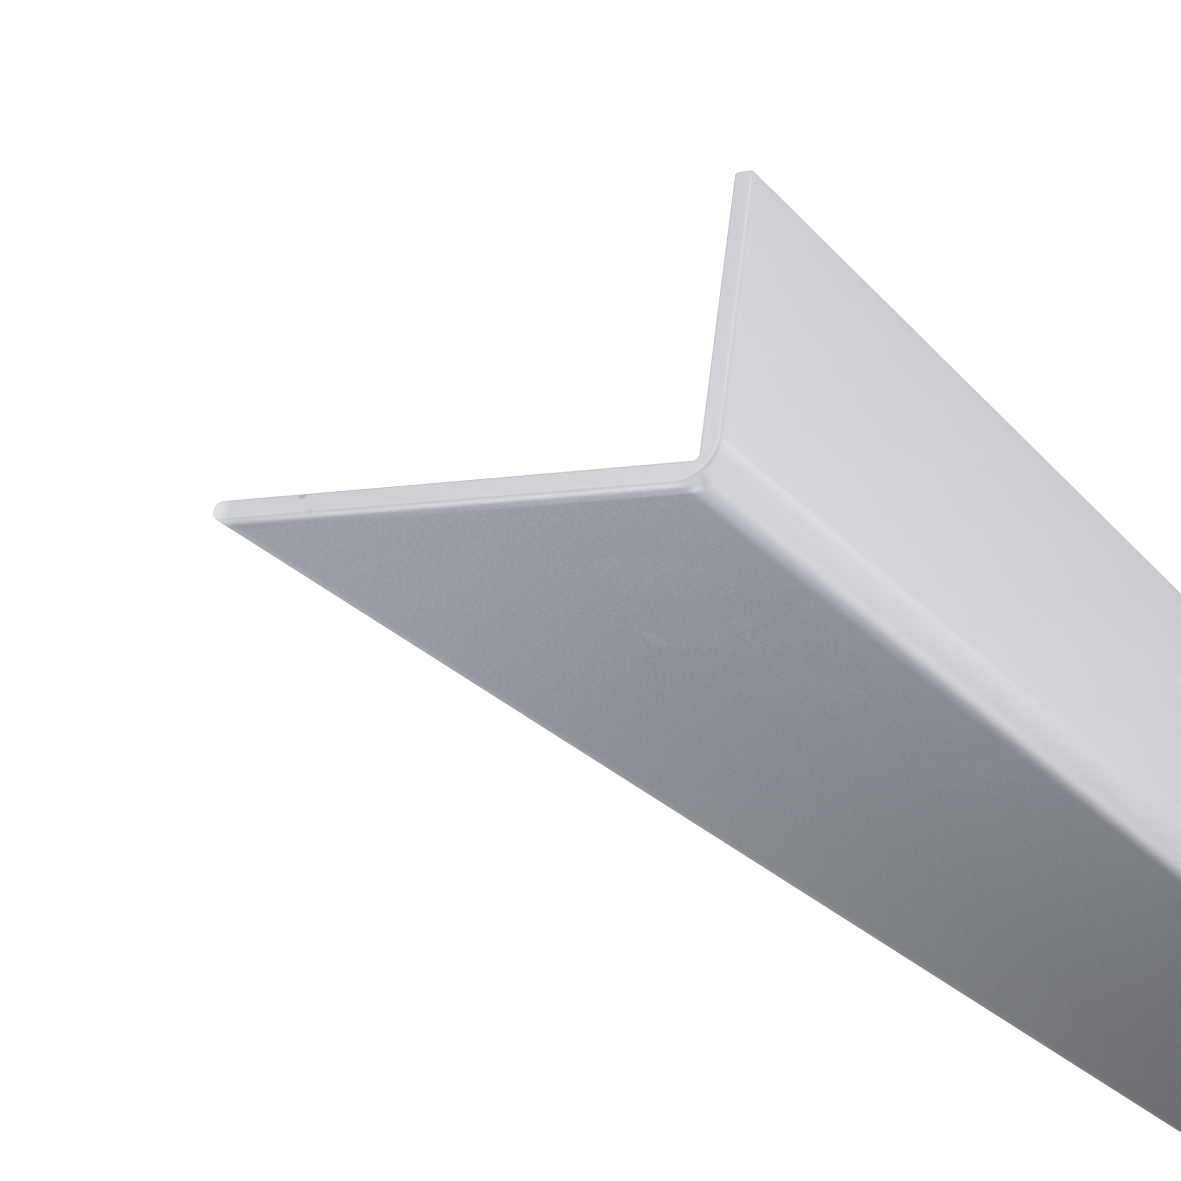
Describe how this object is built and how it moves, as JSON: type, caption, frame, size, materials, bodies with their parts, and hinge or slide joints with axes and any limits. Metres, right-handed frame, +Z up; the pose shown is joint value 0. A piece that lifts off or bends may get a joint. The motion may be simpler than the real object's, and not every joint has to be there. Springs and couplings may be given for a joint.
{
  "type": "metal angle section",
  "caption": "Straight length of metal angle with unequal legs, rounded outer corner and toes, and square cut ends; edges, caps or stiffens what it is fixed to.",
  "frame": {"origin": "on the floor under the middle of the piece, as it lies on both toes with the corner up", "axes": "+X along the length, +Y towards the narrow leg's toe, +Z up, with the rounded corner on top"},
  "size_m": [1, 0.0614, 0.0257],
  "materials": {
    "satin_metal": "satin, with a very fine grain"
  },
  "bodies": {
    "root": {"angle_section": "satin_metal"}
  },
  "joints": []
}
